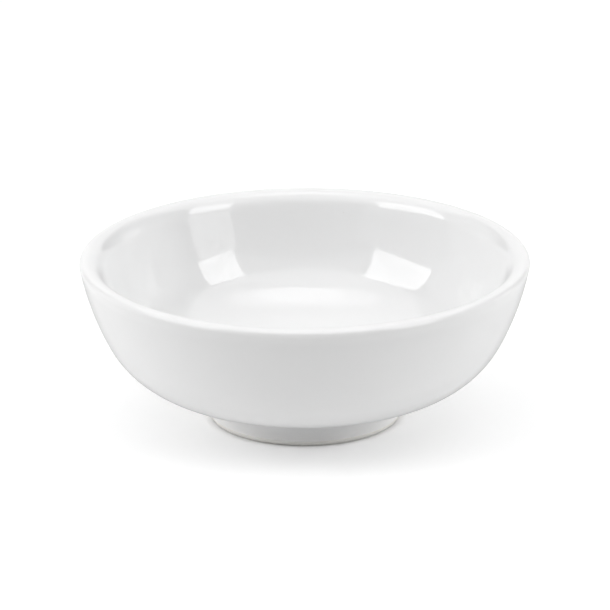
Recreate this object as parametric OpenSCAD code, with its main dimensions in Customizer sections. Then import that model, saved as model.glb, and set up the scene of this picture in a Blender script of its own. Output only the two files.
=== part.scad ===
// Soy sauce dish: a small round porcelain bowl on a foot ring.
// The fired clay is one piece. Clear glaze covers it in two patches, parted by the dry rim
// that the dish stands on in the kiln. Sizes over the glaze are sizes of the finished dish.
// The origin is the centre of the bearing face, with the dish's axis along Z.

/* [Dish] */
// Diameter over the widest point of the lip, glaze included
dish_d = 95; // [86:0.5:110]
// Height from the bearing face to the top of the lip, glaze included
dish_h = 35.2; // [31:0.1:42]
// Thickness of the fired glaze
glaze_t = 0.25; // [0.15:0.05:0.4]

/* [Lip] */
// Distance from the lip's outer side to its highest point
lip_top_w = 1.55; // [1.3:0.05:1.9]
// Radius of the lip's outer corner
lip_outer_r = 1; // [0.6:0.05:1.2]
// Radius of the lip's rolled top
lip_roll_r = 2.6; // [2.2:0.05:3.2]
// Slope at which the rolled top turns into the flare, in degrees from the horizontal
lip_roll_slope = 51; // [40:1:58]
// Radius of the flare between the rolled top and the inner wall
lip_flare_r = 6.5; // [5:0.25:8]

/* [Outside of the wall] */
// Slope of the flank under the lip, in degrees from the horizontal
flank_slope = 79; // [74:0.5:86]
// Radius of the nearly straight flank
flank_r = 60; // [45:1:90]
// Radius of the full belly
belly_r = 20.5; // [16:0.5:24]
// Radius of the flat underside between belly and foot
underside_r = 190; // [120:5:260]

/* [Inside of the bowl] */
// Slope of the inner wall under the flare, in degrees from the horizontal
inner_slope = 76; // [73:0.5:82]
// Radius of the upper inner wall
inner_flank_r = 46; // [40:1:60]
// Radius of the turn from the inner wall into the well
inner_belly_r = 17.5; // [13:0.5:21]
// Radius of the well's floor
well_r = 82; // [70:1:110]
// Height of the well's lowest point over the bearing face
well_z = 7; // [6.2:0.1:8]

/* [Foot ring] */
// Outside diameter of the foot ring's dry rim
foot_d = 40.4; // [34:0.2:44]
// Height at which the foot's outer wall would meet the underside
foot_h = 6.3; // [5:0.1:6.8]
// Thickness of the foot ring at its rim
foot_w = 3.4; // [2.6:0.1:5]
// Radius of the fillet between the foot ring and the underside
foot_fillet_r = 1.6; // [0.8:0.1:2.4]
// Radius of the dry rim's two rounded edges
foot_edge_r = 0.6; // [0.3:0.05:0.9]
// Height at which the glaze stops over the bearing face
glaze_line = 1; // [0.9:0.05:1.2]
// Depth of the recess under the dish, at its centre
recess_depth = 3.4; // [3.2:0.1:3.9]
// Radius of the recess's domed ceiling
recess_dome_r = 160; // [130:5:400]
// Radius of the corner between the recess's wall and its ceiling
recess_fillet_r = 1.1; // [0.6:0.05:1.3]

/* [Hidden] */

// Chords stay this share of the dish's diameter from their true arcs
chord_share = 0.0001;
chord_error = dish_d * chord_share;
// Sides of the full turn that each outline is revolved through
turn_sides = 180;

// Colours of the clear-glazed white clay and of the bare clay
glaze_colour = "white";
clay_colour = "linen";

// Point at a distance r from a centre, in the direction a
function polar(centre, r, a) = centre + r * [cos(a), sin(a)];

// Direction of the vector v, in degrees
function direction(v) = atan2(v[1], v[0]);

// Points of an arc from direction a to direction b, without its last point
function arc(centre, r, a, b) =
    let (
        step = 2 * acos(1 - chord_error / r),
        count = max(1, ceil(abs(b - a) / step))
    )
    [for (i = [0 : count - 1]) polar(centre, r, a + (b - a) * i / count)];

// A list of points in the opposite order
function reversed(points) = [for (i = [len(points) - 1 : -1 : 0]) points[i]];

// Centre of the arc of radius r that touches two larger arcs from inside, on the side away from the axis
function nested_centre(centre_a, r_a, centre_b, r_b, r) =
    let (
        apart = norm(centre_b - centre_a),
        line = (centre_b - centre_a) / apart,
        along = ((r_a - r) ^ 2 - (r_b - r) ^ 2 + apart ^ 2) / (2 * apart),
        aside = sqrt((r_a - r) ^ 2 - along ^ 2)
    )
    centre_a + along * line + aside * [line[1], -line[0]];

// Lip: a tight outer corner, a rolled top and a wide flare down to the inner wall, all tangent
roll_centre = [dish_d / 2 - lip_top_w, dish_h - lip_roll_r];
corner_in = lip_top_w - lip_outer_r;
lip_outer_centre = roll_centre + [corner_in, sqrt((lip_roll_r - lip_outer_r) ^ 2 - corner_in ^ 2)];
lip_outer_turn = direction(lip_outer_centre - roll_centre);
lip_roll_turn = lip_roll_slope + 90;
flare_centre = polar(roll_centre, lip_roll_r - lip_flare_r, lip_roll_turn);

// Foot ring: radii of the bare clay, and of the glazed wall above the dry rim
foot_r = foot_d / 2;
foot_inner_r = foot_r - foot_w;
foot_glazed_r = foot_r + glaze_t;
recess_glazed_r = foot_inner_r - glaze_t;

// Outside of the wall: flank, belly and underside, each tangent to the next
flank_turn = flank_slope - 90;
flank_centre = polar(lip_outer_centre, lip_outer_r - flank_r, flank_turn);
underside_centre = [0, foot_h + sqrt(underside_r ^ 2 - foot_glazed_r ^ 2)];
belly_centre = nested_centre(flank_centre, flank_r, underside_centre, underside_r, belly_r);
belly_top_turn = direction(belly_centre - flank_centre);
belly_base_turn = direction(belly_centre - underside_centre);

// Fillet that rounds the corner between the underside and the foot's outer wall
fillet_x = foot_glazed_r + foot_fillet_r;
fillet_centre = [fillet_x, underside_centre[1] - sqrt((underside_r + foot_fillet_r) ^ 2 - fillet_x ^ 2)];
fillet_turn = direction(fillet_centre - underside_centre);

// Inside of the bowl: upper wall, turn and well, each tangent to the next
inner_turn = inner_slope - 90;
inner_flank_centre = polar(flare_centre, -(lip_flare_r + inner_flank_r), inner_turn);
well_centre = [0, well_z + well_r];
inner_belly_centre = nested_centre(inner_flank_centre, inner_flank_r, well_centre, well_r, inner_belly_r);
inner_belly_turn = direction(inner_belly_centre - inner_flank_centre);
well_turn = direction(inner_belly_centre - well_centre);

// Recess under the dish: a domed ceiling with a rounded corner
dome_centre = [0, recess_depth - recess_dome_r];
corner_x = recess_glazed_r - recess_fillet_r;
corner_centre = [corner_x, dome_centre[1] + sqrt((recess_dome_r - recess_fillet_r) ^ 2 - corner_x ^ 2)];
corner_turn = direction(corner_centre - dome_centre);

// Outline from the middle of the well over the lip to the foot's outer wall.
// grow is 0 on the glaze's face and -glaze_t on the clay's face, along the same arc centres.
// The lip's arcs are parted at its top and its widest point, so that both are points of the outline.
function bowl_outline(grow) = concat(
    arc(well_centre, well_r - grow, -90, well_turn),
    arc(inner_belly_centre, inner_belly_r - grow, well_turn, inner_belly_turn),
    arc(inner_flank_centre, inner_flank_r - grow, inner_belly_turn, inner_turn),
    arc(flare_centre, lip_flare_r + grow, 180 + inner_turn, lip_roll_turn),
    arc(roll_centre, lip_roll_r + grow, lip_roll_turn, 90),
    arc(roll_centre, lip_roll_r + grow, 90, lip_outer_turn),
    arc(lip_outer_centre, lip_outer_r + grow, lip_outer_turn, 0),
    arc(lip_outer_centre, lip_outer_r + grow, 0, flank_turn),
    arc(flank_centre, flank_r + grow, flank_turn, belly_top_turn),
    arc(belly_centre, belly_r + grow, belly_top_turn, belly_base_turn),
    arc(underside_centre, underside_r + grow, belly_base_turn, fillet_turn),
    arc(fillet_centre, foot_fillet_r - grow, fillet_turn + 180, 180),
    [[foot_glazed_r + grow, fillet_centre[1]]]
);

// Outline from the recess's wall over its corner to the middle of its ceiling, with the same grow
function recess_outline(grow) = concat(
    arc(corner_centre, recess_fillet_r - grow, 0, corner_turn),
    arc(dome_centre, recess_dome_r - grow, corner_turn, 90),
    [[0, recess_depth - grow]]
);

// Dry rim of the foot ring, from its outer to its inner glaze line
foot_rim_outline = concat(
    [[foot_r, glaze_line]],
    arc([foot_r - foot_edge_r, foot_edge_r], foot_edge_r, 0, -90),
    [[foot_r - foot_edge_r, 0]],
    arc([foot_inner_r + foot_edge_r, foot_edge_r], foot_edge_r, -90, -180),
    [[foot_inner_r, foot_edge_r], [foot_inner_r, glaze_line]]
);

// Fired white clay: wall, well and foot ring in one piece
module porcelain_body() {
    color(clay_colour)
        rotate_extrude($fn = turn_sides)
            polygon(concat(bowl_outline(-glaze_t), foot_rim_outline, recess_outline(-glaze_t)));
}

// Clear glaze over the bowl, the lip and the outside, ending in a rounded bead on the foot
module glaze_coat() {
    bead_z = glaze_line + glaze_t;
    color(glaze_colour)
        rotate_extrude($fn = turn_sides)
            polygon(concat(
                bowl_outline(0),
                arc([foot_r, bead_z], glaze_t, 0, -90),
                [[foot_r, glaze_line]],
                reversed(bowl_outline(-glaze_t))
            ));
}

// Clear glaze in the recess under the dish, ending in the same bead inside the foot ring
module foot_recess_glaze() {
    bead_z = glaze_line + glaze_t;
    color(glaze_colour)
        rotate_extrude($fn = turn_sides)
            polygon(concat(
                [[foot_inner_r, glaze_line]],
                arc([foot_inner_r, bead_z], glaze_t, -90, -180),
                [[recess_glazed_r, bead_z]],
                recess_outline(0),
                reversed(recess_outline(-glaze_t))
            ));
}

porcelain_body();
glaze_coat();
foot_recess_glaze();
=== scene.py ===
"""Looks of a small white porcelain soy sauce dish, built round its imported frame.

The dish is three fired pieces: the clear glaze over the bowl, the clay under it, and the glaze in
the recess of the foot. Each is turned here as one smooth closed surface on the section of the node
that it stands for, and gets its own finish. Lengths are metres and angles are degrees.
"""

import logging
import math
from dataclasses import dataclass, field, replace
from enum import Enum

import bpy
import numpy as np
from mathutils import Matrix, Vector


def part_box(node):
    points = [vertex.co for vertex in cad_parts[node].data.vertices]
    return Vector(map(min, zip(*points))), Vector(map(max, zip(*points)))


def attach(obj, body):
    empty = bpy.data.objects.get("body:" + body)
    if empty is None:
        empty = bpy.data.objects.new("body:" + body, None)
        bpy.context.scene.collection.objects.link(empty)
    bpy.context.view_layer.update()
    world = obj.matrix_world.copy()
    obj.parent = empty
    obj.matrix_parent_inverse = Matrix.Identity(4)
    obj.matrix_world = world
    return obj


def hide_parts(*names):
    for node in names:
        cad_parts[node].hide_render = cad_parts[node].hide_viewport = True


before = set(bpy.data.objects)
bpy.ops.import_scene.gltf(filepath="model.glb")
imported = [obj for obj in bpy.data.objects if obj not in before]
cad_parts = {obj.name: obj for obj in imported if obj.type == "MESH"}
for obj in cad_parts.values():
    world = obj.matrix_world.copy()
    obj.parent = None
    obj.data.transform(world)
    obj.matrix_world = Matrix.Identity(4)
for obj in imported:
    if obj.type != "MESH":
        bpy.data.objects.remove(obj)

LOG = logging.getLogger("soy_sauce_dish")
MM = 0.001
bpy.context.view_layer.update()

Colour = tuple[float, float, float]
Socket = bpy.types.NodeSocket
Value = float | Socket


def link_object(name: str, data: bpy.types.ID) -> bpy.types.Object:
    """Makes an object of a mesh, a lamp or a camera and links it to the scene.

    Args:
        name: The object's name.
        data: What it holds.

    Returns:
        The object.
    """
    made = bpy.data.objects.new(name, data)
    bpy.context.scene.collection.objects.link(made)
    return made


def polar(centre: np.ndarray, radius: float, turn: float) -> np.ndarray:
    """Point at a distance from a centre, centre + radius * (cos turn, sin turn).

    Args:
        centre: Radius and height of the centre.
        radius: Distance from it.
        turn: Direction, in degrees from the outward radius.

    Returns:
        Radius and height of the point.
    """
    angle = math.radians(turn)
    return centre + radius * np.array([math.cos(angle), math.sin(angle)])


def direction(vector: np.ndarray) -> float:
    """Direction of a vector in the section, in degrees."""
    return math.degrees(math.atan2(vector[1], vector[0]))


def nested_centre(
    centre_a: np.ndarray, radius_a: float, centre_b: np.ndarray, radius_b: float, radius: float,
) -> np.ndarray:
    """Centre of the arc that touches two larger arcs from inside, away from the axis.

    The centre lies radius_a - radius from the first centre and radius_b - radius from the second:
    along their line by ((radius_a - radius)^2 - (radius_b - radius)^2 + apart^2) / (2 apart), and
    aside by what is left of the first distance.

    Args:
        centre_a: Centre of the first larger arc.
        radius_a: Its radius.
        centre_b: Centre of the second larger arc.
        radius_b: Its radius.
        radius: Radius of the arc that is sought.

    Returns:
        Radius and height of its centre.
    """
    apart = float(np.hypot(*(centre_b - centre_a)))
    line = (centre_b - centre_a) / apart
    along = ((radius_a - radius) ** 2 - (radius_b - radius) ** 2 + apart ** 2) / (2 * apart)
    aside = math.sqrt((radius_a - radius) ** 2 - along ** 2)
    return centre_a + along * line + aside * np.array([line[1], -line[0]])


@dataclass(frozen=True)
class Arc:
    """One arc of the section.

    Attributes:
        centre: Radius and height of its centre.
        radius: Its radius.
        start: Direction of its first point from the centre, in degrees.
        end: Direction of its last point, in degrees.
    """

    centre: np.ndarray
    radius: float
    start: float
    end: float

    def points(self, step: float) -> np.ndarray:
        """Points centre + radius * (cos a, sin a) for evenly spaced a, without the last one.

        Args:
            step: Longest distance between two points.

        Returns:
            Rows of radius and height.
        """
        length = self.radius * math.radians(abs(self.end - self.start))
        count = max(2, math.ceil(length / step))
        turn = np.radians(self.start + (self.end - self.start) * np.arange(count) / count)
        return self.centre + self.radius * np.stack([np.cos(turn), np.sin(turn)], axis=1)


class Face(Enum):
    """The two faces of the glaze, as shares of its thickness from the outer one."""

    GLAZE = 0.0
    CLAY = -1.0


@dataclass
class DishSection:
    """The dish's section, from the middle of the well over the lip to the middle of the recess.

    The rim's radius and the height come from the frame, and the other sizes are the model's own.
    The spacing factors multiply the distance between two points of an outline.

    Attributes:
        rim_r: Radius at the widest point of the lip.
        height: Height of the lip's top over the bearing face.
        glaze: Thickness of the glaze.
        lip_top: Distance from the lip's outer side to its highest point.
        lip_outer_r: Radius of the lip's outer corner.
        lip_roll_r: Radius of the lip's rolled top.
        lip_roll_slope: Slope at which the rolled top turns into the flare.
        lip_flare_r: Radius of the flare between the rolled top and the inner wall.
        flank_slope: Slope of the flank under the lip.
        flank_r: Radius of the nearly straight flank.
        belly_r: Radius of the full belly.
        underside_r: Radius of the flat underside between belly and foot.
        inner_slope: Slope of the inner wall under the flare.
        inner_flank_r: Radius of the upper inner wall.
        inner_belly_r: Radius of the turn from the inner wall into the well.
        well_r: Radius of the well's floor.
        well_z: Height of the well's lowest point.
        foot_r: Outer radius of the foot's dry rim.
        foot_h: Height at which the foot's outer wall would meet the underside.
        foot_w: Thickness of the foot ring at its rim.
        foot_fillet_r: Radius of the fillet between the foot ring and the underside.
        foot_edge_r: Radius of the dry rim's two rounded edges.
        glaze_line: Height at which the glaze stops.
        recess_depth: Depth of the recess at its centre.
        recess_dome_r: Radius of the recess's domed ceiling.
        recess_fillet_r: Radius of the corner between the recess's wall and its ceiling.
        under_glaze: Spacing factor under the glaze of the bowl.
        under_recess: Spacing factor under the glaze of the recess.
        bead: Spacing factor on the bowl glaze's bead.
        recess_bead: Spacing factor on the recess glaze's bead.
        tight: Spacing factor on the foot's edges and in the recess's corner.
    """

    rim_r: float
    height: float
    glaze: float = 0.25 * MM
    lip_top: float = 1.55 * MM
    lip_outer_r: float = 1.0 * MM
    lip_roll_r: float = 2.6 * MM
    lip_roll_slope: float = 51.0
    lip_flare_r: float = 6.5 * MM
    flank_slope: float = 79.0
    flank_r: float = 60.0 * MM
    belly_r: float = 20.5 * MM
    underside_r: float = 190.0 * MM
    inner_slope: float = 76.0
    inner_flank_r: float = 46.0 * MM
    inner_belly_r: float = 17.5 * MM
    well_r: float = 82.0 * MM
    well_z: float = 7.0 * MM
    foot_r: float = 20.2 * MM
    foot_h: float = 6.3 * MM
    foot_w: float = 3.4 * MM
    foot_fillet_r: float = 1.6 * MM
    foot_edge_r: float = 0.6 * MM
    glaze_line: float = 1.0 * MM
    recess_depth: float = 3.4 * MM
    recess_dome_r: float = 160.0 * MM
    recess_fillet_r: float = 1.1 * MM
    under_glaze: float = 3.0
    under_recess: float = 2.0
    bead: float = 1 / 3
    recess_bead: float = 1 / 8
    tight: float = 1 / 4

    @property
    def foot_inner_r(self) -> float:
        """Inner radius of the foot's bare rim."""
        return self.foot_r - self.foot_w

    def bowl_arcs(self, face: Face) -> list[Arc]:
        """Arcs from the middle of the well over the lip to the foot's outer wall, all tangent.

        The glaze's two faces share the arcs' centres: a convex arc of the clay is smaller by the
        glaze's thickness, and a concave one is larger.

        Args:
            face: The face of the glaze that the arcs follow.

        Returns:
            The arcs in order.
        """
        grow = face.value * self.glaze
        roll = np.array([self.rim_r - self.lip_top, self.height - self.lip_roll_r])
        corner_in = self.lip_top - self.lip_outer_r
        corner_up = math.sqrt((self.lip_roll_r - self.lip_outer_r) ** 2 - corner_in ** 2)
        corner = roll + np.array([corner_in, corner_up])
        corner_turn = direction(corner - roll)
        roll_turn = self.lip_roll_slope + 90
        flare = polar(roll, self.lip_roll_r - self.lip_flare_r, roll_turn)

        flank_turn = self.flank_slope - 90
        flank = polar(corner, self.lip_outer_r - self.flank_r, flank_turn)
        foot_glazed_r = self.foot_r + self.glaze
        underside_up = math.sqrt(self.underside_r ** 2 - foot_glazed_r ** 2)
        underside = np.array([0.0, self.foot_h + underside_up])
        belly = nested_centre(flank, self.flank_r, underside, self.underside_r, self.belly_r)
        fillet_x = foot_glazed_r + self.foot_fillet_r
        fillet_down = math.sqrt((self.underside_r + self.foot_fillet_r) ** 2 - fillet_x ** 2)
        fillet = np.array([fillet_x, underside[1] - fillet_down])
        fillet_turn = direction(fillet - underside)

        inner_turn = self.inner_slope - 90
        inner_flank = polar(flare, -(self.lip_flare_r + self.inner_flank_r), inner_turn)
        well = np.array([0.0, self.well_z + self.well_r])
        turn = nested_centre(inner_flank, self.inner_flank_r, well, self.well_r, self.inner_belly_r)
        turn_top = direction(turn - inner_flank)
        well_turn = direction(turn - well)
        belly_top = direction(belly - flank)
        belly_base = direction(belly - underside)
        return [
            Arc(well, self.well_r - grow, -90, well_turn),
            Arc(turn, self.inner_belly_r - grow, well_turn, turn_top),
            Arc(inner_flank, self.inner_flank_r - grow, turn_top, inner_turn),
            Arc(flare, self.lip_flare_r + grow, 180 + inner_turn, roll_turn),
            Arc(roll, self.lip_roll_r + grow, roll_turn, 90),
            Arc(roll, self.lip_roll_r + grow, 90, corner_turn),
            Arc(corner, self.lip_outer_r + grow, corner_turn, 0),
            Arc(corner, self.lip_outer_r + grow, 0, flank_turn),
            Arc(flank, self.flank_r + grow, flank_turn, belly_top),
            Arc(belly, self.belly_r + grow, belly_top, belly_base),
            Arc(underside, self.underside_r + grow, belly_base, fillet_turn),
            Arc(fillet, self.foot_fillet_r - grow, fillet_turn + 180, 180),
        ]

    def bowl_outline(self, face: Face, step: float, lip_step: float) -> np.ndarray:
        """Points along the bowl's arcs, closer together on the lip, down to the foot's wall.

        Args:
            face: The face of the glaze that the outline follows.
            step: Longest distance between two points.
            lip_step: The same on the lip and the foot's fillet.

        Returns:
            Rows of radius and height.
        """
        arcs = self.bowl_arcs(face)
        small = self.lip_flare_r + self.glaze
        runs = [arc.points(lip_step if arc.radius <= small else step) for arc in arcs]
        fillet = arcs[-1]
        wall = np.array([[fillet.centre[0] - fillet.radius, fillet.centre[1]]])
        return np.concatenate([*runs, wall])

    def recess_outline(self, face: Face, step: float) -> np.ndarray:
        """Points from the recess's wall over its rounded corner to the middle of its ceiling.

        Args:
            face: The face of the glaze that the outline follows.
            step: Longest distance between two points.

        Returns:
            Rows of radius and height.
        """
        grow = face.value * self.glaze
        dome = np.array([0.0, self.recess_depth - self.recess_dome_r])
        corner_x = self.foot_inner_r - self.glaze - self.recess_fillet_r
        corner_up = math.sqrt((self.recess_dome_r - self.recess_fillet_r) ** 2 - corner_x ** 2)
        corner = np.array([corner_x, dome[1] + corner_up])
        corner_turn = direction(corner - dome)
        return np.concatenate([
            Arc(corner, self.recess_fillet_r - grow, 0, corner_turn).points(self.tight * step),
            Arc(dome, self.recess_dome_r - grow, corner_turn, 90).points(step),
            [[0.0, self.recess_depth - grow]],
        ])

    def glaze_coat_outline(self, step: float, lip_step: float) -> np.ndarray:
        """The glaze over the bowl: its outer face, its rounded bead on the foot, its inner face.

        Args:
            step: Longest distance between two points.
            lip_step: The same on the lip and the foot's fillet.

        Returns:
            Rows of radius and height, from pole to pole.
        """
        bead_z = self.glaze_line + self.glaze
        bead = Arc(np.array([self.foot_r, bead_z]), self.glaze, 0, -90)
        return np.concatenate([
            self.bowl_outline(Face.GLAZE, step, lip_step),
            bead.points(self.bead * lip_step),
            [[self.foot_r, self.glaze_line]],
            self.bowl_outline(Face.CLAY, self.under_glaze * step, self.under_glaze * lip_step)[::-1],
        ])

    def recess_glaze_outline(self, step: float) -> np.ndarray:
        """The glaze in the recess: its lower face from the middle, its bead, its upper face.

        Args:
            step: Longest distance between two points.

        Returns:
            Rows of radius and height, from pole to pole.
        """
        bead_z = self.glaze_line + self.glaze
        bead = Arc(np.array([self.foot_inner_r, bead_z]), self.glaze, -180, -90)
        return np.concatenate([
            self.recess_outline(Face.GLAZE, step)[::-1],
            bead.points(self.recess_bead * step),
            [[self.foot_inner_r, self.glaze_line]],
            self.recess_outline(Face.CLAY, self.under_recess * step),
        ])

    def clay_outline(self, step: float, lip_step: float) -> np.ndarray:
        """The fired clay: the glazed-over bowl, the dry rim of the foot, and the recess.

        Args:
            step: Longest distance between two points.
            lip_step: The same on the lip and the foot's edges.

        Returns:
            Rows of radius and height, from pole to pole.
        """
        edge = self.foot_edge_r
        outer = Arc(np.array([self.foot_r - edge, edge]), edge, 0, -90)
        inner = Arc(np.array([self.foot_inner_r + edge, edge]), edge, -90, -180)
        return np.concatenate([
            self.bowl_outline(Face.CLAY, self.under_glaze * step, self.under_glaze * lip_step),
            [[self.foot_r, self.glaze_line]],
            outer.points(self.tight * lip_step),
            [[self.foot_r - edge, 0.0]],
            inner.points(self.tight * lip_step),
            [[self.foot_inner_r, edge], [self.foot_inner_r, self.glaze_line]],
            self.recess_outline(Face.CLAY, step),
        ])


@dataclass(frozen=True)
class GlazeFlow:
    """How the melted glaze settled: shallow waves, about a hundredth of a millimetre deep.

    Attributes:
        depth: Greatest depth of the waves below the true surface.
        lobes: Waves round the dish, one number for each term.
        lengths: Their wavelengths along the section, one for each term.
        phases: Their starts, in degrees, one for each term.
        fade_in: Distance from the pole over which they grow to their full depth.
        fade_out: Distance over which they end.
    """

    depth: float
    lobes: tuple[int, ...] = (3, 5, 8, 13)
    lengths: tuple[float, ...] = (31 * MM, 19 * MM, 13 * MM, 9 * MM)
    phases: tuple[float, ...] = (20.0, 140.0, 250.0, 75.0)
    fade_in: float = 8 * MM
    fade_out: float = 3 * MM

    def sink(self, along: np.ndarray, turn: np.ndarray) -> np.ndarray:
        """Depth below the true surface, never negative.

        Each term is cos(lobes * turn + phase) * cos(2 pi along / length + phase), with weights that
        fall off as 1, 1/2, 1/3 ..., and their sum is moved and scaled to 0 ... depth.

        Args:
            along: Distance along the section, one row for each ring.
            turn: Angle round the axis in radians, one column for each sector.

        Returns:
            A grid of depths, rings by sectors.
        """
        total = np.zeros((along.size, turn.size))
        weight = 0.0
        for order, (lobe, length, phase) in enumerate(zip(self.lobes, self.lengths, self.phases), 1):
            start = math.radians(phase)
            across = np.cos(lobe * turn[None, :] + start)
            down = np.cos(2 * math.pi * along[:, None] / length + start)
            total += across * down / order
            weight += 1 / order
        return self.depth * 0.5 * (1 + total / weight)


@dataclass
class TurnedPiece:
    """One fired piece, turned from an outline that starts and ends on the axis.

    Attributes:
        name: Name of the new piece.
        stands_for: Node of the frame that it replaces.
        slot: The record's material slot; not used.
        outline: Rows of radius and height, from pole to pole.
        sectors: Number of sides of the full turn.
        flow: Waves of the glaze, or None on bare clay.
        flow_rings: Number of rings from the first pole on that the waves reach.
        soak: Depth to which light soaks in and spreads sideways, 0 for none.
        melt: Length over which the melted glaze rounds its own edges off, where soak isn't 0.
    """

    name: str
    stands_for: str
    slot: str
    outline: np.ndarray
    sectors: int = 288
    flow: GlazeFlow | None = None
    flow_rings: int = 0
    soak: float = 0.0
    melt: float = 0.15 * MM

    def rings(self) -> tuple[np.ndarray, np.ndarray]:
        """The outline carried round the axis, a ring of points for each of its inner points.

        A point is (r cos t, r sin t, z), moved inwards along the outline's normal by the depth of
        the glaze's waves, which fade in from the pole and out at the last ring that they reach.

        Returns:
            The grid of points, rings by sectors by 3, and the two poles' points.
        """
        inner = self.outline[1:-1]
        turn = 2 * math.pi * np.arange(self.sectors) / self.sectors
        radius = np.repeat(inner[:, :1], self.sectors, axis=1)
        height = np.repeat(inner[:, 1:], self.sectors, axis=1)
        if self.flow is not None:
            chord = np.diff(self.outline, axis=0)
            along = np.cumsum(np.hypot(chord[:, 0], chord[:, 1]))[:-1]
            tangent = np.gradient(inner, axis=0)
            tangent /= np.hypot(tangent[:, 0], tangent[:, 1])[:, None]
            reach = along[self.flow_rings - 1]
            fade_in = np.clip(along / self.flow.fade_in, 0, 1)
            fade_out = np.clip((reach - along) / self.flow.fade_out, 0, 1)
            fade = (fade_in * fade_out)[:, None] ** 2
            depth = self.flow.sink(along, turn) * fade
            radius = radius + depth * tangent[:, 1:]
            height = height - depth * tangent[:, :1]
        grid = np.stack([radius * np.cos(turn), radius * np.sin(turn), height], axis=2)
        poles = np.array([[0.0, 0.0, self.outline[0, 1]], [0.0, 0.0, self.outline[-1, 1]]])
        return grid, poles

    def add_soft_normals(self, mesh: bpy.types.Mesh, count: int, name: str, reach: float) -> None:
        """Stores normals that are softened along the section, as light in the clay softens shade.

        The normal of a ring is the mean of its neighbours' normals along the outline, each weighted
        by exp(-distance / reach) and by the length of outline that it stands for. Rings before and
        past the last one that the glaze's waves reach don't mix.

        Args:
            mesh: The turned mesh.
            count: Its number of rings.
            name: Name of the attribute.
            reach: Length over which they are softened.
        """
        size = count * self.sectors
        normals = np.empty(3 * len(mesh.vertices), dtype=np.float32)
        mesh.vertex_normals.foreach_get("vector", normals)
        normals = normals.reshape(-1, 3).astype(float)
        chord = np.diff(self.outline, axis=0)
        length = np.hypot(chord[:, 0], chord[:, 1])
        along = np.cumsum(length)[:-1]
        share = (length[:-1] + length[1:]) / 2
        weight = np.exp(-np.abs(along[:, None] - along[None, :]) / reach) * share[None, :]
        edge = self.flow_rings
        weight[:edge, edge:] = 0
        weight[edge:, :edge] = 0
        grid = normals[:size].reshape(count, self.sectors * 3)
        soft = (weight @ grid).reshape(-1, 3)
        soft /= np.linalg.norm(soft, axis=1)[:, None]
        normals[:size] = soft
        layer = mesh.attributes.new(name, "FLOAT_VECTOR", "POINT")
        layer.data.foreach_set("vector", normals.astype(np.float32).ravel())

    def build(self) -> bpy.types.Object:
        """Turns the outline into a closed mesh, links it and puts it in its node's place.

        Rings are joined by quads, and each pole by a fan of triangles. If the closed surface's
        signed volume is negative, its faces are turned over.

        Returns:
            The new object.
        """
        grid, poles = self.rings()
        count, sectors = grid.shape[:2]
        points = np.concatenate([grid.reshape(-1, 3), poles])
        ring = np.arange(count - 1)[:, None] * sectors
        side = np.arange(sectors)[None, :]
        after = (side + 1) % sectors
        below = ring + sectors
        quads = np.stack([ring + side, ring + after, below + after, below + side], axis=2).reshape(-1, 4)
        first, last = count * sectors, count * sectors + 1
        side, after = side[0], after[0]
        top = np.stack([after, side, np.full(sectors, first)], axis=1)
        base = (count - 1) * sectors
        bottom = np.stack([base + side, base + after, np.full(sectors, last)], axis=1)
        triangles = np.concatenate([top, bottom])
        split = np.concatenate([quads[:, [0, 1, 2]], quads[:, [0, 2, 3]], triangles])
        a, b, c = points[split[:, 0]], points[split[:, 1]], points[split[:, 2]]
        if np.einsum("ij,ij->i", a, np.cross(b, c)).sum() < 0:
            quads, triangles = quads[:, ::-1], triangles[:, ::-1]
        mesh = bpy.data.meshes.new(self.name)
        mesh.from_pydata(points.tolist(), [], quads.tolist() + triangles.tolist())
        mesh.polygons.foreach_set("use_smooth", np.ones(len(mesh.polygons), dtype=bool))
        mesh.update()
        if self.soak:
            self.add_soft_normals(mesh, count, "clay_normal", self.soak)
            self.add_soft_normals(mesh, count, "glaze_normal", self.melt)
        piece = link_object(self.name, mesh)
        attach(piece, "root")
        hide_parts(self.stands_for)
        LOG.info("piece %s: %d rings of %d, %d triangles", self.name, count, sectors, len(split))
        return piece


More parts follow.
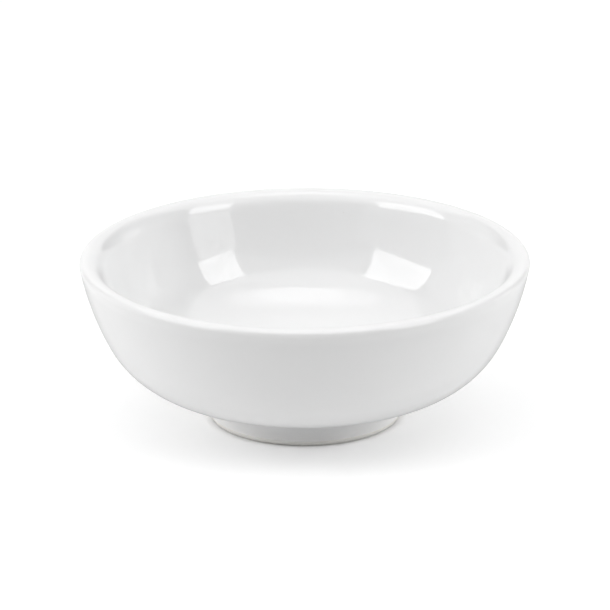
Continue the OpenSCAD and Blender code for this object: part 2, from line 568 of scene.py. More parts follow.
class Nodes:
    """Short ways to place and link the nodes of one node tree."""

    def __init__(self, tree: bpy.types.NodeTree) -> None:
        """Keeps the tree and empties it."""
        self.tree = tree
        tree.nodes.clear()

    def add(self, kind: str, **settings: object) -> bpy.types.Node:
        """Adds a node and sets its properties.

        Args:
            kind: The node's type name.
            settings: Values of its properties.

        Returns:
            The node.
        """
        node = self.tree.nodes.new(kind)
        for key, value in settings.items():
            setattr(node, key, value)
        return node

    def link(self, source: Socket, target: Socket) -> None:
        """Links an output to an input."""
        self.tree.links.new(source, target)

    def feed(self, target: Socket, value: object) -> None:
        """Gives an input its value.

        Args:
            target: The input.
            value: Another node's output, which is linked to it, or what it is set to.
        """
        if isinstance(value, Socket):
            self.link(value, target)
        else:
            target.default_value = value

    def math(self, operation: str, *values: Value, clamp: bool = False) -> Socket:
        """Adds a Math node.

        Args:
            operation: Its operation.
            values: Its inputs, each a number or another node's output.
            clamp: True to keep the result from 0 to 1.

        Returns:
            Its output.
        """
        node = self.add("ShaderNodeMath", operation=operation, use_clamp=clamp)
        for socket, value in zip(node.inputs, values):
            self.feed(socket, value)
        return node.outputs[0]

    def split(self, vector: Socket) -> bpy.types.NodeOutputs:
        """Adds a Separate XYZ node.

        Args:
            vector: Output that gives the vector.

        Returns:
            Its outputs X, Y and Z.
        """
        node = self.add("ShaderNodeSeparateXYZ")
        self.link(vector, node.inputs[0])
        return node.outputs

    def bump(self, height: Socket, depth: float) -> bpy.types.Node:
        """Adds a Bump node.

        Args:
            height: Output that gives the height, from 0 to 1.
            depth: Depth that a height of 1 stands for.

        Returns:
            The node.
        """
        node = self.add("ShaderNodeBump")
        node.inputs["Strength"].default_value = 1.0
        node.inputs["Distance"].default_value = depth
        self.link(height, node.inputs["Height"])
        return node

    def show(self, shader: bpy.types.Node) -> None:
        """Links a shader to the material's output."""
        self.link(shader.outputs[0], self.add("ShaderNodeOutputMaterial").inputs["Surface"])

    def hypot(self, first: Socket, second: Socket) -> Socket:
        """Square root of the sum of two outputs' squares."""
        squares = [self.math("POWER", value, 2.0) for value in (first, second)]
        return self.math("SQRT", self.math("ADD", *squares))

    def noise(self, vector: Socket, scale: Value, detail: float, roughness: float) -> Socket:
        """Adds a 3D noise texture.

        Args:
            vector: Its coordinates.
            scale: Its scale, a number or an output.
            detail: Number of finer octaves.
            roughness: Share that each octave keeps.

        Returns:
            Its value, from 0 to 1.
        """
        node = self.add("ShaderNodeTexNoise", noise_dimensions="3D")
        self.link(vector, node.inputs["Vector"])
        self.feed(node.inputs["Scale"], scale)
        node.inputs["Detail"].default_value = detail
        node.inputs["Roughness"].default_value = roughness
        return node.outputs["Fac"]

    def ramp(self, value: Socket, low: float, high: float) -> Socket:
        """Smooth step of a value.

        Args:
            value: The output that is stepped.
            low: Where the step is 0.
            high: Where it is 1.

        Returns:
            Its result, from 0 to 1.
        """
        node = self.add("ShaderNodeMapRange", interpolation_type="SMOOTHSTEP")
        self.link(value, node.inputs["Value"])
        node.inputs["From Min"].default_value = low
        node.inputs["From Max"].default_value = high
        return node.outputs["Result"]

    def mix(self, factor: Socket, low: Colour | Socket, high: Colour | Socket) -> Socket:
        """Mixes two colours.

        Args:
            factor: 0 for the first, 1 for the second.
            low: First colour, three numbers or an output.
            high: Second colour, three numbers or an output.

        Returns:
            The mixed colour.
        """
        node = self.add("ShaderNodeMix", data_type="RGBA")
        self.link(factor, node.inputs[0])
        for socket, value in ((node.inputs[6], low), (node.inputs[7], high)):
            self.feed(socket, value if isinstance(value, Socket) else (*value, 1.0))
        return node.outputs[2]


def new_material(name: str) -> tuple[bpy.types.Material, Nodes]:
    """Makes a material with an empty node tree.

    Args:
        name: Its name.

    Returns:
        The material and its node helper.
    """
    material = bpy.data.materials.new(name)
    material.use_nodes = True
    return material, Nodes(material.node_tree)


def new_group(
    name: str, inputs: dict[str, float | None], outputs: list[str],
) -> tuple[bpy.types.NodeTree, Nodes, bpy.types.Node, bpy.types.Node]:
    """Makes an empty shader node group with named sockets.

    Args:
        name: The group's name.
        inputs: Each input's name and default value, None for a vector.
        outputs: The names of its outputs, all plain values.

    Returns:
        The group, its node helper, and its input and output nodes.
    """
    tree = bpy.data.node_groups.new(name, "ShaderNodeTree")
    nodes = Nodes(tree)
    for key, value in inputs.items():
        kind = "NodeSocketVector" if value is None else "NodeSocketFloat"
        socket = tree.interface.new_socket(key, in_out="INPUT", socket_type=kind)
        if value is not None:
            socket.default_value = value
    for key in outputs:
        tree.interface.new_socket(key, in_out="OUTPUT", socket_type="NodeSocketFloat")
    return tree, nodes, nodes.add("NodeGroupInput"), nodes.add("NodeGroupOutput")


def kiln_mottle_group() -> bpy.types.NodeTree:
    """Slow changes of tone and sparse iron specks, as the kiln leaves them.

    Returns:
        A group with the outputs Mottle, from 0 to 1, and Specks, 1 on a speck.
    """
    speck_edge, bare_share = 0.03, 0.93
    tree, nodes, given, out = new_group(
        "kiln_mottle", {"Position": None, "Mottle Scale": 60.0, "Speck Scale": 900.0, "Speck Size": 0.08},
        ["Mottle", "Specks"])
    mottle = nodes.noise(given.outputs["Position"], given.outputs["Mottle Scale"], detail=3.0, roughness=0.5)
    nodes.link(mottle, out.inputs["Mottle"])
    cells = nodes.add("ShaderNodeTexVoronoi", voronoi_dimensions="3D", feature="F1")
    nodes.link(given.outputs["Position"], cells.inputs["Vector"])
    nodes.link(given.outputs["Speck Scale"], cells.inputs["Scale"])
    near = nodes.math("SUBTRACT", given.outputs["Speck Size"], cells.outputs["Distance"])
    spot = nodes.ramp(near, 0.0, speck_edge)
    chance = nodes.add("ShaderNodeSeparateColor")
    nodes.link(cells.outputs["Color"], chance.inputs[0])
    rare = nodes.math("GREATER_THAN", chance.outputs[0], bare_share)
    nodes.link(nodes.math("MULTIPLY", spot, rare), out.inputs["Specks"])
    return tree


def glaze_skin_group() -> bpy.types.NodeTree:
    """The glaze's own surface: soft orange peel, and patches a little less bright than others.

    Returns:
        A group with the outputs Peel, a height from 0 to 1, and Haze, from 0 to 1.
    """
    haze_from, haze_to = 0.35, 0.75
    tree, nodes, given, out = new_group(
        "glaze_skin", {"Position": None, "Peel Scale": 420.0, "Haze Scale": 90.0}, ["Peel", "Haze"])
    peel = nodes.noise(given.outputs["Position"], given.outputs["Peel Scale"], detail=2.0, roughness=0.4)
    nodes.link(peel, out.inputs["Peel"])
    haze = nodes.noise(given.outputs["Position"], given.outputs["Haze Scale"], detail=4.0, roughness=0.6)
    nodes.link(nodes.ramp(haze, haze_from, haze_to), out.inputs["Haze"])
    return tree


def glaze_pool_and_glow_group() -> bpy.types.NodeTree:
    """Where glaze gathers or thins, or where a glow is painted on: a soft band round a ring about the dish's
    axis.

    The mask is (1 - distance / reach)^2: 1 on the ring of the given radius and height, and 0 from
    the reach on.

    Returns:
        A group with the output Mask.
    """
    inputs = {"Position": None, "Ring Radius": 0.02, "Ring Height": 0.005, "Reach": 0.002}
    tree, nodes, given, out = new_group("glaze_pool", inputs, ["Mask"])
    split = nodes.split(given.outputs["Position"])
    radius = nodes.hypot(split["X"], split["Y"])
    aside = nodes.math("SUBTRACT", radius, given.outputs["Ring Radius"])
    above = nodes.math("SUBTRACT", split["Z"], given.outputs["Ring Height"])
    away = nodes.hypot(aside, above)
    share = nodes.math("DIVIDE", away, given.outputs["Reach"])
    left = nodes.math("SUBTRACT", 1.0, share, clamp=True)
    nodes.link(nodes.math("MULTIPLY", left, left), out.inputs["Mask"])
    return tree


@dataclass(frozen=True)
class Ring:
    """A ring about the axis where the glaze gathers or thins, or where a glow is painted on.

    Attributes:
        radius: The ring's radius.
        height: Its height.
        reach: Distance at which its effect ends.
        colour: Colour that the glaze turns to there, or of the painted glow.
        amount: Share of that colour on the ring itself.
    """

    radius: float
    height: float
    reach: float
    colour: Colour
    amount: float


@dataclass(frozen=True)
class PaintedGlow:
    """Where a glow is painted on the clay as emission, standing in for light and shade.

    Attributes:
        around: Rings about which the glow is painted all round.
        sides: Rings about which it is painted at both sides of the dish, where side light falls.
    """

    around: tuple[Ring, ...]
    sides: tuple[Ring, ...]


class Effects:
    """The node groups that the finishes share, each built once."""

    def __init__(self) -> None:
        """Builds the groups."""
        self.mottle = kiln_mottle_group()
        self.skin = glaze_skin_group()
        self.pool = glaze_pool_and_glow_group()

    @staticmethod
    def place(nodes: Nodes, tree: bpy.types.NodeTree, position: Socket, **values: float) -> bpy.types.Node:
        """Places a group in a material.

        Args:
            nodes: The material's node helper.
            tree: The group.
            position: Output that gives the surface's position.
            values: The group's other inputs, with underscores for the spaces in their names.

        Returns:
            The group's node.
        """
        node = nodes.add("ShaderNodeGroup", node_tree=tree)
        nodes.link(position, node.inputs["Position"])
        for key, value in values.items():
            node.inputs[key.replace("_", " ")].default_value = value
        return node

    def ring_share(self, nodes: Nodes, position: Socket, ring: Ring) -> Socket:
        """A ring's mask times its amount.

        Args:
            nodes: The material's node helper.
            position: Output that gives the surface's position.
            ring: The ring.

        Returns:
            The share, which is the amount on the ring itself.
        """
        pool = self.place(
            nodes, self.pool, position, Ring_Radius=ring.radius, Ring_Height=ring.height, Reach=ring.reach)
        return nodes.math("MULTIPLY", pool.outputs["Mask"], ring.amount)

    def paint_glow(self, nodes: Nodes, position: Socket, glow: PaintedGlow, shader: bpy.types.Node) -> None:
        """Paints a glow on as emission, standing in for light and shade: the sum of the glow's ring shares.

        A side ring's share is multiplied by (x / radius)^2.

        Args:
            nodes: The material's node helper.
            position: Output that gives the surface's position.
            glow: The rings.
            shader: The material's shader.
        """
        split = nodes.split(position)
        total = 0.0
        for ring in glow.around:
            total = nodes.math("ADD", self.ring_share(nodes, position, ring), total)
        for ring in glow.sides:
            aside = nodes.math("POWER", nodes.math("DIVIDE", split["X"], ring.radius), 2.0)
            share = nodes.math("MULTIPLY", self.ring_share(nodes, position, ring), aside)
            total = nodes.math("ADD", share, total)
        # Painted light: the glow is emission on the surface, not a lamp.
        colour = nodes.mix(total, (0.0, 0.0, 0.0), glow.around[0].colour)
        nodes.link(colour, shader.inputs["Emission Color"])
        shader.inputs["Emission Strength"].default_value = 1.0


@dataclass(frozen=True)
class ClearGlaze:
    """Clear glaze over white clay: bright, glossy and nearly even.

    Attributes:
        name: The material's name.
        white: Colour of the clay as it shows through the glaze.
        shade: Colour of its slightly darker patches.
        speck: Colour of an iron speck under the glaze.
        gloss: Roughness of the glaze.
        haze: Share of its reflection that is lost where it is least bright.
        peel: Depth of the orange peel, which shows in the clay's light.
        clay_rough: Roughness of the clay under the glaze.
        glaze_ior: The glaze's index of refraction.
        matt_start: Facing, from 0 to 1, past which a grazing view dims the glaze's reflection.
        edge_matt: Share of the reflection that is lost at the very edge.
        painted_shade_start: Facing past which painted shade darkens the clay's colour towards the outline.
        edge_painted_shade: Share of the clay's colour that the painted shade takes away at the very edge.
        edge: Facing at which both losses are full.
        soft: True where the mesh stores softened normals for the clay and the glaze.
        rings: Where the glaze gathers or thins.
        glow: Where a glow is painted on as light, or None.
    """

    name: str
    white: Colour = (0.92, 0.92, 0.92)
    shade: Colour = (0.905, 0.907, 0.908)
    speck: Colour = (0.84, 0.82, 0.79)
    gloss: float = 0.05
    haze: float = 0.02
    peel: float = 0.002 * MM
    clay_rough: float = 0.5
    glaze_ior: float = 1.6
    matt_start: float = 0.55
    edge_matt: float = 0.95
    painted_shade_start: float = 0.76
    edge_painted_shade: float = 0.20
    edge: float = 0.96
    soft: bool = False
    rings: tuple[Ring, ...] = ()
    glow: PaintedGlow | None = None

    def material(self, effects: Effects) -> bpy.types.Material:
        """Builds the material.

        Args:
            effects: The shared node groups.

        Returns:
            The material.
        """
        material, nodes = new_material(self.name)
        position = nodes.add("ShaderNodeTexCoord").outputs["Object"]
        mottle = effects.place(
            nodes, effects.mottle, position, Mottle_Scale=55.0, Speck_Scale=350.0, Speck_Size=0.05)
        skin = effects.place(nodes, effects.skin, position, Peel_Scale=420.0, Haze_Scale=90.0)
        colour = nodes.mix(mottle.outputs["Mottle"], self.white, self.shade)
        for ring in self.rings:
            colour = nodes.mix(effects.ring_share(nodes, position, ring), colour, ring.colour)
        colour = nodes.mix(mottle.outputs["Specks"], colour, self.speck)
        bump = nodes.bump(skin.outputs["Peel"], self.peel)
        shader = nodes.add("ShaderNodeBsdfPrincipled")
        shader.inputs["Roughness"].default_value = self.clay_rough
        shader.inputs["Specular IOR Level"].default_value = 0.0
        shader.inputs["Coat Roughness"].default_value = self.gloss
        shader.inputs["Coat IOR"].default_value = self.glaze_ior
        facing = nodes.add("ShaderNodeLayerWeight").outputs["Facing"]
        # Painted shade: the clay's colour darkens towards the outline as the view grazes.
        edge_shade_mix = nodes.math("MULTIPLY", nodes.ramp(facing, self.painted_shade_start, self.edge), self.edge_painted_shade)
        nodes.link(nodes.mix(edge_shade_mix, colour, (0.0, 0.0, 0.0)), shader.inputs["Base Color"])
        matt = nodes.ramp(facing, self.matt_start, self.edge)
        bright = nodes.math("MULTIPLY_ADD", matt, -self.edge_matt, 1.0)
        clear = nodes.math("MULTIPLY_ADD", skin.outputs["Haze"], -self.haze, 1.0)
        nodes.link(nodes.math("MULTIPLY", bright, clear), shader.inputs["Coat Weight"])
        nodes.link(bump.outputs["Normal"], shader.inputs["Normal"])
        if self.glow is not None:
            effects.paint_glow(nodes, position, self.glow, shader)
        if self.soft:
            clay, glaze = bump.inputs["Normal"], shader.inputs["Coat Normal"]
            for name, target in (("clay_normal", clay), ("glaze_normal", glaze)):
                stored = nodes.add("ShaderNodeAttribute", attribute_name=name)
                turned = nodes.add(
                    "ShaderNodeVectorTransform", vector_type="NORMAL",
                    convert_from="OBJECT", convert_to="WORLD")
                nodes.link(stored.outputs["Vector"], turned.inputs[0])
                nodes.link(turned.outputs[0], target)
        nodes.show(shader)
        return material


@dataclass(frozen=True)
class DryBiscuit:
    """Bare fired clay on the foot's rim: matt, faintly warm and a little worn where it stands.

    Attributes:
        name: The material's name.
        clay: Colour of the clay.
        shade: Colour of its darker patches.
        worn: Colour that the rim takes up from the table.
        worn_h: Height up to which it does.
        patch_scale: Scale of the worn patches.
        patch_edge: Values of their noise from which and to which a patch grows in.
        speck: Colour of an iron speck.
        grain: Depth of the clay's grain.
        grain_scale: Its scale.
        rough: Roughness in the grain's hollows.
        rough_span: How much rougher it is on the grain's tops.
        ior: The clay's index of refraction.
        glow: Where a glow is painted on as light, or None.
    """

    name: str
    clay: Colour = (0.87, 0.86, 0.83)
    shade: Colour = (0.81, 0.79, 0.75)
    worn: Colour = (0.52, 0.50, 0.46)
    worn_h: float = 0.35 * MM
    patch_scale: float = 500.0
    patch_edge: tuple[float, float] = (0.40, 0.62)
    speck: Colour = (0.35, 0.30, 0.25)
    grain: float = 0.02 * MM
    grain_scale: float = 6000.0
    rough: float = 0.68
    rough_span: float = 0.15
    ior: float = 1.5
    glow: PaintedGlow | None = None

    def material(self, effects: Effects) -> bpy.types.Material:
        """Builds the material.

        Args:
            effects: The shared node groups.

        Returns:
            The material.
        """
        material, nodes = new_material(self.name)
        position = nodes.add("ShaderNodeTexCoord").outputs["Object"]
        mottle = effects.place(
            nodes, effects.mottle, position, Mottle_Scale=220.0, Speck_Scale=900.0, Speck_Size=0.12)
        grain = nodes.noise(position, self.grain_scale, detail=3.0, roughness=0.6)
        low = nodes.ramp(nodes.split(position)["Z"], self.worn_h, 0.0)
        patch = nodes.noise(position, self.patch_scale, detail=4.0, roughness=0.6)
        patch = nodes.ramp(patch, *self.patch_edge)
        colour = nodes.mix(mottle.outputs["Mottle"], self.clay, self.shade)
        colour = nodes.mix(nodes.math("MULTIPLY", low, patch), colour, self.worn)
        colour = nodes.mix(mottle.outputs["Specks"], colour, self.speck)
        bump = nodes.bump(grain, self.grain)
        rough = nodes.math("ADD", nodes.math("MULTIPLY", grain, self.rough_span), self.rough)
        shader = nodes.add("ShaderNodeBsdfPrincipled")
        shader.inputs["IOR"].default_value = self.ior
        nodes.link(colour, shader.inputs["Base Color"])
        nodes.link(rough, shader.inputs["Roughness"])
        nodes.link(bump.outputs["Normal"], shader.inputs["Normal"])
        if self.glow is not None:
            effects.paint_glow(nodes, position, self.glow, shader)
        nodes.show(shader)
        return material


@dataclass
class Dish:
    """The dish itself: its section, its three turned pieces and their finishes.

    Attributes:
        section: The dish's section.
        step: Longest distance between two points of an outline.
        lip_step: The same on the lip and the foot's fillet.
        soak: Length over which the light in the clay spreads.
        flow: The glaze's waves.
        gathered: Colour of the glaze where it gathers.
        thinned: Colour where it thins.
        warm: Colour of the glow painted on the clay as light.
        lip_in: Distance from the rim's side to the ring about which the lip's painted glow lies.
        lip_down: Depth of that ring below the lip's top.
        dry_up: Height of the ring about which the dry rim's painted glow lies.
    """

    section: DishSection
    step: float = 0.75 * MM
    lip_step: float = 0.22 * MM
    soak: float = 1.2 * MM
    flow: GlazeFlow = field(default_factory=lambda: GlazeFlow(depth=0.012 * MM))
    gathered: Colour = (0.80, 0.825, 0.81)
    thinned: Colour = (0.86, 0.845, 0.81)
    warm: Colour = (1.0, 0.99, 0.97)
    lip_in: float = 1.1 * MM
    lip_down: float = 0.6 * MM
    dry_up: float = 2.5 * MM

    @classmethod
    def from_frame(cls) -> "Dish":
        """Takes the rim's radius and the height from the frame's glaze."""
        low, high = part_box("glaze_coat")
        return cls(DishSection(rim_r=min(high.x, -low.x, high.y, -low.y), height=high.z))

    def thin_edge(self, radius: float) -> Ring:
        """The glaze's lower edge at a radius, where it thins."""
        return Ring(radius, self.section.glaze_line, reach=0.5 * MM, colour=self.thinned, amount=0.8)

    def bowl_finish(self) -> ClearGlaze:
        """Glaze that gathers in the foot's fillet and thins at its lower edge.

        A glow is painted on as light at the lip and the foot, stronger at the foot's sides where side light
        falls.

        Returns:
            The finish.
        """
        section = self.section
        fillet = section.bowl_arcs(Face.GLAZE)[-1]
        middle = fillet.centre + fillet.radius / 2 * np.array([-1.0, 1.0])
        pool = Ring(middle[0], middle[1], reach=2.2 * MM, colour=self.gathered, amount=0.5)
        edge = self.thin_edge(section.foot_r + section.glaze)
        # Painted light: glow rings at the foot, at its sides and under the lip.
        foot = Ring(section.foot_r, 0.0, reach=6 * MM, colour=self.warm, amount=0.245)
        side = Ring(section.foot_r, 0.0, reach=10 * MM, colour=self.warm, amount=0.35)
        lip_r, lip_z = section.rim_r - self.lip_in, section.height - self.lip_down
        lip = Ring(lip_r, lip_z, reach=3.2 * MM, colour=self.warm, amount=0.115)
        glow = PaintedGlow(around=(foot, lip), sides=(side,))
        return ClearGlaze("clear_glaze_bowl", soft=True, rings=(pool, edge), glow=glow)

    def recess_finish(self) -> ClearGlaze:
        """Glaze that gathers in the recess's corner and thins at its lower edge.

        Returns:
            The finish.
        """
        section = self.section
        corner = section.foot_inner_r, section.recess_depth
        pool = Ring(*corner, reach=2.5 * MM, colour=self.gathered, amount=0.7)
        edge = self.thin_edge(section.foot_inner_r - section.glaze)
        return ClearGlaze("clear_glaze_recess", gloss=0.075, haze=0.08, rings=(pool, edge))

    def clay_finish(self) -> DryBiscuit:
        """Bare clay with a painted glow near the foot ring, stronger at the dish's sides, standing in for
        light.

        Returns:
            The finish.
        """
        # Painted light: a glow on the dry rim, stronger at the dish's sides.
        around = Ring(self.section.foot_r, self.dry_up, reach=3.5 * MM, colour=self.warm, amount=0.2)
        sides = replace(around, amount=0.4)
        return DryBiscuit("dry_biscuit", glow=PaintedGlow(around=(around,), sides=(sides,)))

    def build(self) -> list[bpy.types.Object]:
        """Turns and dresses the three pieces.

        Returns:
            Their objects.
        """
        section, effects = self.section, Effects()
        flow_rings = len(section.bowl_outline(Face.GLAZE, self.step, self.lip_step)) - 1
        bowl = TurnedPiece(
            "bowl_glaze", "glaze_coat", "clear_glaze", flow=self.flow, flow_rings=flow_rings, soak=self.soak,
            outline=section.glaze_coat_outline(self.step, self.lip_step))
        recess = TurnedPiece(
            "recess_glaze", "foot_recess_glaze", "clear_glaze", section.recess_glaze_outline(self.step))
        clay = TurnedPiece(
            "fired_clay", "porcelain_body", "biscuit_porcelain",
            section.clay_outline(self.step, self.lip_step))
        pieces = []
        for part, finish in (
            (bowl, self.bowl_finish()), (recess, self.recess_finish()), (clay, self.clay_finish()),
        ):
            piece = part.build()
            piece.data.materials.append(finish.material(effects))
            pieces.append(piece)
        return pieces


@dataclass(frozen=True)
class PhotoCamera:
    """The photograph's camera, found from the dish's edges in it.

    Attributes:
        aim: Point that the middle of the frame looks at.
        distance: Distance from that point.
        elevation: Height over the horizon, in degrees.
        roll: Turn about the line of sight, in degrees.
        focal_px: Focal length in pixels of the frame.
        frame_px: Width of the frame in pixels.
        sensor: Width of the sensor in the camera's own millimetres.
        clip: Nearest and farthest distance that it sees.
    """

    aim: tuple[float, float, float] = (0.00004, 0.0, 0.02424)
    distance: float = 1.0012
    elevation: float = 19.43
    roll: float = -0.235
    focal_px: float = 4733.0
    frame_px: float = 610.0
    sensor: float = 36.0
    clip: tuple[float, float] = (0.05, 50.0)

    def build(self) -> bpy.types.Object:
        """Makes the camera and makes it the scene's own.

        Returns:
            The camera's object.
        """
        data = bpy.data.cameras.new("photo_camera")
        data.sensor_width = self.sensor
        data.lens = self.focal_px * self.sensor / self.frame_px
        data.clip_start, data.clip_end = self.clip
        camera = link_object("photo_camera", data)
        rise, roll = math.radians(self.elevation), math.radians(self.roll)
        back = Vector((0.0, -math.cos(rise), math.sin(rise)))
        right = Vector((1.0, 0.0, 0.0))
        up = back.cross(right)
        across = math.cos(roll) * right + math.sin(roll) * up
        upright = -math.sin(roll) * right + math.cos(roll) * up
        turn = Matrix((across, upright, back)).transposed()
        camera.matrix_world = Matrix.Translation(Vector(self.aim) + self.distance * back) @ turn.to_4x4()
        bpy.context.scene.camera = camera
        return camera


class LampShape(Enum):
    """Outline of a soft lamp's face, with its share of the box round it."""

    RECTANGLE = 1.0
    ELLIPSE = math.pi / 4


@dataclass(frozen=True)
class SoftLamp:
    """A flat soft lamp, placed by its direction from the dish.

    Attributes:
        name: The lamp's name.
        azimuth: Direction round the dish, 0 towards the camera and 90 towards +X, in degrees.
        elevation: Height over the horizon, in degrees.
        wide: Angle that it spans across, seen from the dish.
        high: Angle that it spans upright.
        level: Brightness with which it lights the dish, where 1 is white.
        shine: Brightness of its face in reflections.
        lean: Turn of the face about its level axis, in degrees.
        swing: Turn about its upright axis after that.
        roll: Turn about its own axis after that.
        distance: Distance from the dish.
        shape: Outline of the face.
        layers: Number of nested faces that share the shine, each smaller, for a soft edge.
        shrink: Share of its size that the face would lose after all its layers.
        gap: Distance from one layer to the next, as a share of the lamp's distance.
        behind: The same from the first layer back to the lamp that gives the light.
    """

    name: str
    azimuth: float
    elevation: float
    wide: float
    high: float
    level: float
    shine: float
    lean: float = 0.0
    swing: float = 0.0
    roll: float = 0.0
    distance: float = 1.2
    shape: LampShape = LampShape.RECTANGLE
    layers: int = 1
    shrink: float = 0.6
    gap: float = 0.01
    behind: float = 0.02

    def build(self) -> list[bpy.types.Object]:
        """Makes the lamp as separate ones, for the light it gives and for its face in reflections.

        The power of each is its brightness * pi * area. Rays pass through a lamp's face and go on
        behind it, so no two lie in one plane, and each is met by its own rays. Layer k of the face
        has 1 - shrink * k / layers of its size.

        Returns:
            The lamps' objects.
        """
        turn, rise = math.radians(self.azimuth), math.radians(self.elevation)
        out = Vector((math.sin(turn) * math.cos(rise), -math.cos(turn) * math.cos(rise), math.sin(rise)))
        face = out.to_track_quat("Z", "Y").to_matrix()
        for angle, axis in ((self.lean, "X"), (self.swing, "Y"), (self.roll, "Z")):
            face = face @ Matrix.Rotation(math.radians(angle), 3, axis)
        parts = [("light", self.level, 1.0, 1 + self.behind)]
        for layer in range(self.layers):
            share = 1 - self.shrink * layer / self.layers
            parts.append(("face", self.shine / self.layers, share, 1 - self.gap * layer))
        made = []
        for part, level, share, away in parts:
            if level == 0:
                continue
            data = bpy.data.lights.new(f"{self.name}_{part}", "AREA")
            data.shape = self.shape.name
            data.size = 2 * share * self.distance * math.tan(math.radians(self.wide / 2))
            data.size_y = 2 * share * self.distance * math.tan(math.radians(self.high / 2))
            data.energy = level * math.pi * data.size * data.size_y * self.shape.value
            lamp = link_object(data.name, data)
            lamp.matrix_world = Matrix.Translation(away * self.distance * out) @ face.to_4x4()
            lamp.visible_camera = False
            lamp.visible_glossy = part == "face"
            lamp.visible_diffuse = part == "light"
            made.append(lamp)
        return made


@dataclass(frozen=True)
class Studio:
    """White table, pale surroundings and soft lamps.

    Attributes:
        floor_r: Radius of the table.
        floor_sides: Number of its sides.
        floor_white: Colour of the table.
        floor_fill: Share of white that the table adds where the camera or a reflection sees it.
        table_front: Y at which the table's front edge begins to give way to the dark room.
        table_fade: Distance over which it does.
        contact_shadow_r: Radius about the dish's axis within which the table adds no white of its own, a
            painted contact shadow round the foot.
        contact_shadow_fade: Distance over which that painted shadow fades out.
        room_grey: Colour of the room in front of the table, as it lights the dish.
        light_back: Brightness of the surroundings low behind the dish, as they light it.
        light_low: Height of a direction, from 0 to 1, up to which they are that bright.
        light_top: Height from which on they give no light.
        wing_r: Radius of the grey screen behind the camera, which only reflections see.
        wing_span: Angle that it spans, in degrees.
        wing_steps: Number of its flat stretches.
        wing_h: Its height.
        wing_grey: Its colour.
        lamps: The lamps. Left and right name the side of the bowl's inside that a lamp faces, which
            lies across from it.
    """

    floor_r: float = 4.0
    floor_sides: int = 96
    floor_white: float = 0.92
    floor_fill: float = 0.27
    table_front: float = -0.155
    table_fade: float = 0.06
    contact_shadow_r: float = 19.6 * MM
    contact_shadow_fade: float = 2.6 * MM
    room_grey: float = 0.04
    light_back: float = 1.03
    light_low: float = 0.3
    light_top: float = 0.8
    wing_r: float = 2.0
    wing_span: float = 300.0
    wing_steps: int = 48
    wing_h: float = 2.0
    wing_grey: float = 0.08
    # A lamp's numbers: azimuth, elevation, wide, high, level, shine
    lamps: tuple[SoftLamp, ...] = (
        SoftLamp("left_softbox", 61.4, 37.0, 23.2, 19.1, 3.18, 3.5, lean=12.6, swing=3.4, roll=-5.2),
        SoftLamp("right_softbox", -71.3, 37.8, 36.4, 24.2, 2.48, 3.4, lean=31.6, swing=10.9, roll=5.8),
        SoftLamp("left_scrim", 57.0, 12.0, 26.0, 32.0, 1.4, 1.3, distance=1.3),
        SoftLamp("right_scrim", -59.5, 12.0, 53.0, 32.0, 0.8, 0.44, distance=1.3),
        SoftLamp("left_card", 114.0, 9.0, 14.0, 19.0, 0.0, 0.9, roll=-20.0),
        SoftLamp("left_haze", 107.0, 13.0, 60.0, 46.0, 0.0, 0.6, shape=LampShape.ELLIPSE, layers=5),
        SoftLamp("right_haze", -112.0, 19.0, 60.0, 52.0, 0.0, 0.7, shape=LampShape.ELLIPSE, layers=5),
        SoftLamp("right_card", -122.0, 7.0, 10.0, 14.0, 0.0, 0.3),
        SoftLamp("overhead_softbox", 32.0, 85.3, 34.0, 23.0, 0.0, 0.95, roll=-32.0, shape=LampShape.ELLIPSE),
        SoftLamp("overhead_scrim", 0.0, 90.0, 60.0, 32.0, 0.17, 1.0, distance=1.4, shape=LampShape.ELLIPSE),
        SoftLamp("roof_front", 0.0, 52.0, 100.0, 28.0, 0.3, 0.6, distance=1.7),
        SoftLamp("roof_high", 0.0, 76.0, 100.0, 26.0, 1.48, 0.47, distance=1.7),
        SoftLamp("roof_back", 180.0, 66.0, 100.0, 46.0, 0.73, 0.5, distance=1.7),
        SoftLamp("left_fill", 95.0, 10.0, 50.0, 26.0, 1.15, 0.0, distance=1.5),
        SoftLamp("right_fill", -95.0, 10.0, 50.0, 26.0, 1.15, 0.0, distance=1.5),
    )

    @staticmethod
    def seen(nodes: Nodes) -> Socket:
        """Tells what is seen from what lights.

        Args:
            nodes: The material's node helper.

        Returns:
            1 for rays from the camera, a reflection or glass, and 0 for rays that carry light.
        """
        path = nodes.add("ShaderNodeLightPath")
        glossy = nodes.math("MAXIMUM", path.outputs["Is Camera Ray"], path.outputs["Is Glossy Ray"])
        return nodes.math("MAXIMUM", glossy, path.outputs["Is Transmission Ray"])

    def world(self) -> None:
        """Surroundings that light the dish softly and are white where they are seen.

        For a direction (x, y, z) their light is light_back ((1 + y) / 2)^2, which fades out as z
        rises from light_low to light_top.
        """
        world = bpy.data.worlds.new("pale_surroundings")
        world.use_nodes = True
        bpy.context.scene.world = world
        nodes = Nodes(world.node_tree)
        split = nodes.split(nodes.add("ShaderNodeTexCoord").outputs["Generated"])
        behind = nodes.math("MULTIPLY_ADD", split["Y"], 0.5, 0.5)
        low = nodes.math("MULTIPLY", nodes.math("MULTIPLY", behind, behind), self.light_back)
        light = nodes.math("MULTIPLY", low, nodes.ramp(split["Z"], self.light_top, self.light_low))
        level = nodes.add("ShaderNodeMapRange")
        nodes.link(self.seen(nodes), level.inputs["Value"])
        nodes.link(light, level.inputs["To Min"])
        level.inputs["To Max"].default_value = 1.0
        sky = nodes.add("ShaderNodeBackground")
        sky.inputs["Color"].default_value = (1.0, 1.0, 1.0, 1.0)
        nodes.link(level.outputs["Result"], sky.inputs["Strength"])
        nodes.link(sky.outputs[0], nodes.add("ShaderNodeOutputWorld").inputs["Surface"])

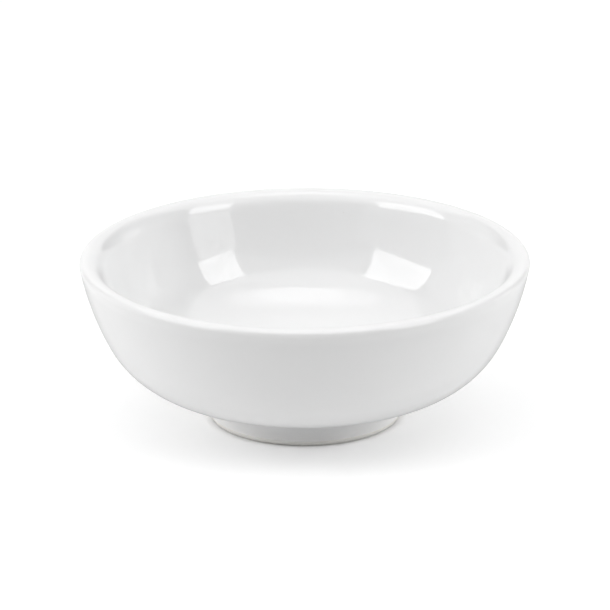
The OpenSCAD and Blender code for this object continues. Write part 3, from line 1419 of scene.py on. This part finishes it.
    @staticmethod
    def mesh_object(
        name: str, points: np.ndarray, faces: np.ndarray, material: bpy.types.Material,
    ) -> bpy.types.Object:
        """Makes an object of points and faces.

        Args:
            name: Its name.
            points: Rows of x, y and z.
            faces: Rows of point numbers.
            material: Its material.

        Returns:
            The object.
        """
        mesh = bpy.data.meshes.new(name)
        mesh.from_pydata(points.tolist(), [], faces.tolist())
        mesh.materials.append(material)
        return link_object(name, mesh)

    def table_finish(self) -> bpy.types.Material:
        """White where the table lies near the dish, dark in front, with a painted contact shadow at the foot
        where it adds no white of its own.

        Returns:
            The material.
        """
        material, nodes = new_material("white_table")
        split = nodes.split(nodes.add("ShaderNodeTexCoord").outputs["Object"])
        past = nodes.ramp(split["Y"], self.table_front, self.table_front - self.table_fade)
        seen = self.seen(nodes)
        matt = nodes.add("ShaderNodeBsdfDiffuse")
        nodes.link(nodes.mix(past, (self.floor_white,) * 3, (self.room_grey,) * 3), matt.inputs["Color"])
        glow = nodes.add("ShaderNodeEmission")
        level = nodes.math("ADD", nodes.math("MULTIPLY", past, 1.0 - self.floor_fill), self.floor_fill)
        # Painted contact shadow: the table's added white is taken away round the foot.
        radius = nodes.hypot(split["X"], split["Y"])
        clear = nodes.ramp(radius, self.contact_shadow_r, self.contact_shadow_r + self.contact_shadow_fade)
        level = nodes.math("MULTIPLY", level, clear)
        nodes.link(nodes.math("MULTIPLY", seen, level), glow.inputs["Strength"])
        both = nodes.add("ShaderNodeAddShader")
        nodes.link(matt.outputs[0], both.inputs[0])
        nodes.link(glow.outputs[0], both.inputs[1])
        nodes.show(both)
        return material

    def floor(self) -> None:
        """A round table at the height of the foot, with corners (r cos t, r sin t, 0)."""
        turn = np.linspace(0, 2 * math.pi, self.floor_sides, endpoint=False)
        rim = self.floor_r * np.stack([np.cos(turn), np.sin(turn), 0 * turn], axis=1)
        floor = self.mesh_object("floor", rim, np.arange(self.floor_sides)[None, :], self.table_finish())

    def wing(self) -> None:
        """A grey screen round the camera's side, points (r sin t, -r cos t, z) of part of a cylinder."""
        half = math.radians(self.wing_span / 2)
        turn = np.linspace(-half, half, self.wing_steps + 1)
        foot = np.stack([self.wing_r * np.sin(turn), -self.wing_r * np.cos(turn), 0 * turn], axis=1)
        points = np.concatenate([foot, foot + np.array([0.0, 0.0, self.wing_h])])
        side = np.arange(self.wing_steps)
        faces = np.stack([side, side + 1, side + 1 + len(turn), side + len(turn)], axis=1)
        material, nodes = new_material("grey_cloth")
        matt = nodes.add("ShaderNodeBsdfDiffuse")
        matt.inputs["Color"].default_value = (*(self.wing_grey,) * 3, 1.0)
        nodes.show(matt)
        wing = self.mesh_object("grey_screen", points, faces, material)
        wing.visible_camera = wing.visible_diffuse = wing.visible_shadow = False

    def build(self) -> None:
        """Sets up the surroundings, the table, the screen and the lamps."""
        bpy.context.scene.view_settings.view_transform = "Standard"
        self.world()
        self.floor()
        self.wing()
        for lamp in self.lamps:
            lamp.build()
        LOG.info("studio: %d lamps", len(self.lamps))


def main() -> None:
    """Builds the camera, the studio and the dish, in that order."""
    logging.basicConfig(level=logging.INFO, format="%(message)s")
    PhotoCamera().build()
    Studio().build()
    pieces = Dish.from_frame().build()
    LOG.info("dish: %d pieces", len(pieces))


if __name__ == "__main__":
    main()
